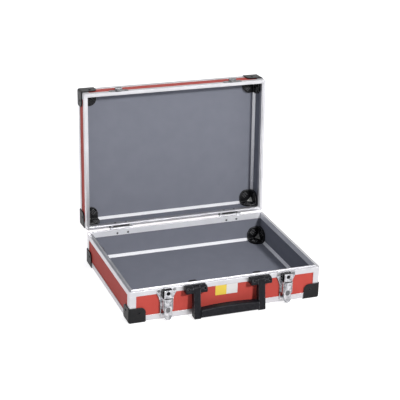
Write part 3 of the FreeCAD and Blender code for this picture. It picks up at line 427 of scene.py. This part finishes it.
SLOT_MATERIALS = {
    "red_board": red,
    "grey_lining": grey,
    "black_plastic": black,
    "bright_steel": bright,
    "dark_steel": dark,
    "grey_zinc": zinc,
    "plain_steel": steel,
    "rivet_steel": rivets,
}
for subpart in frame["record"]["subparts"]:
    node = subpart["node"]
    slot = subpart["material_slot"]
    material = aluminium[brushed_axis(node)] if slot == "frame_aluminium" else SLOT_MATERIALS[slot]
    mesh = frame["nodes"][node].data
    mesh.materials.clear()
    mesh.materials.append(material)
for node in ("handle_grip", "handle_arms", "handle_brackets"):
    frame["nodes"][node].data.materials[0] = grip_black


# Corner caps: a glossier black, with the slanting middle facet painted near-black as shade in the base and
# light grey as a highlight in the lid
for half, facet in cap_facet_lit_and_shaded.items():
    mesh = frame["nodes"][half + "_corner_caps"].data
    mesh.materials.clear()
    mesh.materials.append(cap_black)
    mesh.materials.append(facet)
    for face in mesh.polygons:
        if min(abs(part) for part in face.normal) > FACET_SLANT:
            face.material_index = 1


# Edge profiles: the 45 degree strips along the inside are painted lighter than the brushed flanks, as
# painted light
for node, part in frame["nodes"].items():
    if "_edge_" in node:
        part.data.materials.append(strip_painted_light)
        for face in part.data.polygons:
            if sorted(abs(value) for value in face.normal)[1] > STRIP_SLANT:
                face.material_index = 1


# Base rims: the flanks that face into the tray get the strips' lighter colour, painted light on these
# inward faces
INWARD = {"front": (0, 1, 0), "back": (0, -1, 0), "left": (1, 0, 0), "right": (-1, 0, 0)}
for side, inward in INWARD.items():
    mesh = frame["nodes"]["base_rim_" + side].data
    mesh.materials.append(strip_painted_light)
    for face in mesh.polygons:
        if face.normal.dot(Vector(inward)) > FACING:
            face.material_index = 1


# Latches: painted shade inside the lock housings, on their sides, on the levers' barrels and on the
# catches, and a duller pressed spot painted as a dark reflection
def repaint(node, material, test):
    """Gives the faces that pass test(centre, normal) another material. Both are taken at x = 0."""
    part = frame["nodes"][node]
    offset = Vector((LATCH_SPREAD if node.endswith("right") else -LATCH_SPREAD, 0.0, 0.0))
    part.data.materials.append(material)
    for face in part.data.polygons:
        centre = part.matrix_world @ face.center - offset
        if test(centre, face.normal):
            face.material_index = len(part.data.materials) - 1


def in_housing(centre, normal):
    inside = HOUSING_FRONT_Y < centre.y < PLATE_FRONT_Y and HOUSING_BOTTOM_Z < centre.z < HOUSING_TOP_Z
    behind_face = centre.y > HOUSING_FRONT_Y + FACE_DEPTH
    return inside and abs(centre.x) < HOUSING_HALF and (behind_face or abs(normal.x) > FACING)


def on_barrel(centre, normal):
    return centre.z > BARREL_Z and normal.z > BARREL_SLOPE


def in_dimple(centre, normal):
    return abs(centre.y - DIMPLE_Y) < DIMPLE_TOLERANCE and normal.y < -FACING


for side in ("left", "right"):
    repaint("latch_plate_" + side, dark, in_housing)
    repaint("latch_lever_" + side, dark, on_barrel)
    repaint("latch_lever_" + side, zinc, in_dimple)
    frame["nodes"]["latch_catch_" + side].data.materials[0] = dark


# Detail pieces: flat outlines given a thickness and a bevelled rim
def rounded_outline(x0, x1, y0, y1, radii):
    """Corner points of a rectangle, in order from low left, each corner with its own radius."""
    points = []
    corners = ((x0, y0, 180), (x1, y0, 270), (x1, y1, 0), (x0, y1, 90))
    for (x, y, start), radius in zip(corners, radii):
        centre_x = x + radius if x == x0 else x - radius
        centre_y = y + radius if y == y0 else y - radius
        for step in range(ROUND_STEPS + 1 if radius else 1):
            angle = math.radians(start + 90 * step / ROUND_STEPS)
            points.append((centre_x + radius * math.cos(angle), centre_y + radius * math.sin(angle)))
    return points


def thin_piece(name, outline, thickness, place, material, body):
    """An outline in its own XY plane, raised along its own Z and narrowed at the top, set in place."""
    middle = Vector((sum(x for x, y in outline), sum(y for x, y in outline))) / len(outline)
    shape = bmesh.new()
    lower = [shape.verts.new((x, y, 0.0)) for x, y in outline]
    upper = []
    for x, y in outline:
        inward = (middle - Vector((x, y))).normalized() * thickness * NARROWING
        upper.append(shape.verts.new((x + inward.x, y + inward.y, thickness)))
    shape.faces.new(list(reversed(lower)))
    shape.faces.new(upper)
    for index in range(len(outline)):
        after = (index + 1) % len(outline)
        shape.faces.new((lower[index], lower[after], upper[after], upper[index]))
    mesh = bpy.data.meshes.new(name)
    shape.to_mesh(mesh)
    shape.free()
    mesh.materials.append(material)
    piece = bpy.data.objects.new(name, mesh)
    bpy.context.scene.collection.objects.link(piece)
    piece.matrix_world = place
    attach(piece, body)


label_left = LABEL_CENTRE_X - LABEL_WIDTH / 2
label_right = LABEL_CENTRE_X + LABEL_WIDTH / 2
label_split = label_left + LABEL_WIDTH * LABEL_SPLIT
label_low = LABEL_CENTRE_Z - LABEL_HEIGHT / 2
label_high = LABEL_CENTRE_Z + LABEL_HEIGHT / 2
on_front = Matrix.Translation((0.0, BOARD_FRONT_Y, 0.0)) @ Matrix.Rotation(math.radians(90), 4, "X")
yellow_radii = (LABEL_CORNER, 0.0, 0.0, LABEL_CORNER)
white_radii = (0.0, LABEL_CORNER, LABEL_CORNER, 0.0)
yellow_outline = rounded_outline(label_left, label_split, label_low, label_high, yellow_radii)
white_outline = rounded_outline(label_split, label_right, label_low, label_high, white_radii)
thin_piece("label_yellow_field", yellow_outline, LABEL_THICKNESS, on_front, label_yellow, "base")
thin_piece("label_white_field", white_outline, LABEL_THICKNESS, on_front, label_white, "base")

hinge_point = Vector((0.0, HINGE_Y, HINGE_Z))
lid_turn = Matrix.Rotation(-LID_OPEN_ANGLE, 4, "X")
opening = Matrix.Translation(hinge_point) @ lid_turn @ Matrix.Translation(-hinge_point)

for side, sign in (("left", -1), ("right", 1)):
    spot = Vector((sign * SLOT_SPREAD, SLOT_MIDDLE_Y, SEAM_Z))
    slot_place = opening @ Matrix.Translation(spot) @ Matrix.Rotation(math.pi, 4, "X")
    half_length = SLOT_LENGTH / 2
    half_width = SLOT_WIDTH / 2
    bar_corner = half_width * SLOT_ROUNDING
    bar = rounded_outline(-half_length, half_length, -half_width, half_width, (bar_corner,) * 4)
    thin_piece("hinge_slot_painted_shade_" + side, bar, STRIP_THICKNESS, slot_place, slot_painted_shade, "lid")
    disc = rounded_outline(-DOT_RADIUS, DOT_RADIUS, -DOT_RADIUS, DOT_RADIUS, (DOT_RADIUS,) * 4)
    dot_place = slot_place @ Matrix.Translation((-DOT_OFFSET, 0.0, 0.0))
    thin_piece("hinge_dot_painted_shade_" + side, disc, STRIP_THICKNESS, dot_place, slot_painted_shade, "lid")


# Floor: its own shading, lifted to white where it is seen so that only the shadow stays
def floor_material():
    material = bpy.data.materials.new("floor_white")
    material.use_nodes = True
    tree = material.node_tree
    tree.nodes.clear()
    output = add_node(tree, "ShaderNodeOutputMaterial")
    plain = add_node(tree, "ShaderNodeBsdfDiffuse")
    plain.inputs["Color"].default_value = FLOOR_COLOUR
    glow = add_node(tree, "ShaderNodeEmission")
    glow.inputs["Color"].default_value = WHITE
    strength = range_node(tree, seen_ray(tree), 0.0, 1.0, 0.0, FLOOR_GLOW)
    lifted = add_node(tree, "ShaderNodeAddShader")
    tree.links.new(strength, glow.inputs["Strength"])
    tree.links.new(plain.outputs["BSDF"], lifted.inputs[0])
    tree.links.new(glow.outputs["Emission"], lifted.inputs[1])
    tree.links.new(lifted.outputs["Shader"], output.inputs["Surface"])
    return material


floor_mesh = bpy.data.meshes.new("floor")
floor_corners = [
    (-FLOOR_REACH, -FLOOR_REACH, 0.0),
    (FLOOR_REACH, -FLOOR_REACH, 0.0),
    (FLOOR_REACH, FLOOR_REACH, 0.0),
    (-FLOOR_REACH, FLOOR_REACH, 0.0),
]
floor_mesh.from_pydata(floor_corners, [], [(0, 1, 2, 3)])
floor_mesh.materials.append(floor_material())
floor = bpy.data.objects.new("floor", floor_mesh)
bpy.context.scene.collection.objects.link(floor)

# Sky: white where it is seen, and as a light dim in front and brighter above and to the back
world = bpy.data.worlds.new("studio")
world.use_nodes = True
bpy.context.scene.world = world
sky = world.node_tree
sky.nodes.clear()
sky_output = add_node(sky, "ShaderNodeOutputWorld")
sky_place = add_node(sky, "ShaderNodeTexCoord")
sky_facing = add_node(sky, "ShaderNodeVectorMath", operation="DOT_PRODUCT")
sky_facing.inputs[1].default_value = SKY_DIRECTION
sky.links.new(sky_place.outputs["Generated"], sky_facing.inputs[0])
sky_level = range_node(sky, sky_facing.outputs["Value"], SKY_DARKEST_AT, SKY_BRIGHTEST_AT, 0.0, 1.0)
sky_light = add_node(sky, "ShaderNodeBackground")
sky.links.new(ramp_node(sky, sky_level, [(0.0, SKY_LOW), (1.0, SKY_HIGH)]), sky_light.inputs["Color"])
sky_light.inputs["Strength"].default_value = 1.0
sky_seen = add_node(sky, "ShaderNodeBackground")
sky_seen.inputs["Color"].default_value = WHITE
sky_seen.inputs["Strength"].default_value = 1.0
sky_mix = add_node(sky, "ShaderNodeMixShader")
sky.links.new(seen_ray(sky), sky_mix.inputs["Fac"])
sky.links.new(sky_light.outputs["Background"], sky_mix.inputs[1])
sky.links.new(sky_seen.outputs["Background"], sky_mix.inputs[2])
sky.links.new(sky_mix.outputs["Shader"], sky_output.inputs["Surface"])

# Key light: a soft panel in front, to the right and above
key_data = bpy.data.lights.new("key", "AREA")
key_data.shape = "SQUARE"
key_data.size = KEY_SIZE
key_data.energy = KEY_POWER
key = bpy.data.objects.new("key", key_data)
key.location = KEY_PLACE
key.rotation_euler = (KEY_TARGET - KEY_PLACE).to_track_quat("-Z", "Y").to_euler()
bpy.context.scene.collection.objects.link(key)

# Camera
back = Vector((
    math.sin(CAMERA_AZIMUTH) * math.cos(CAMERA_ELEVATION),
    -math.cos(CAMERA_AZIMUTH) * math.cos(CAMERA_ELEVATION),
    math.sin(CAMERA_ELEVATION),
))
level = Vector((0.0, 0.0, 1.0)).cross(back).normalized()
upright = back.cross(level)
right = level * math.cos(CAMERA_ROLL) + upright * math.sin(CAMERA_ROLL)
up = upright * math.cos(CAMERA_ROLL) - level * math.sin(CAMERA_ROLL)
camera_data = bpy.data.cameras.new("camera")
camera_data.lens = CAMERA_LENS_MM
camera_data.sensor_width = CAMERA_SENSOR_MM
camera = bpy.data.objects.new("camera", camera_data)
bpy.context.scene.collection.objects.link(camera)
turn = Matrix((right, up, back)).transposed().to_4x4()
camera.matrix_world = Matrix.Translation(CAMERA_EYE) @ turn
bpy.context.scene.camera = camera
bpy.context.scene.view_settings.view_transform = "Standard"
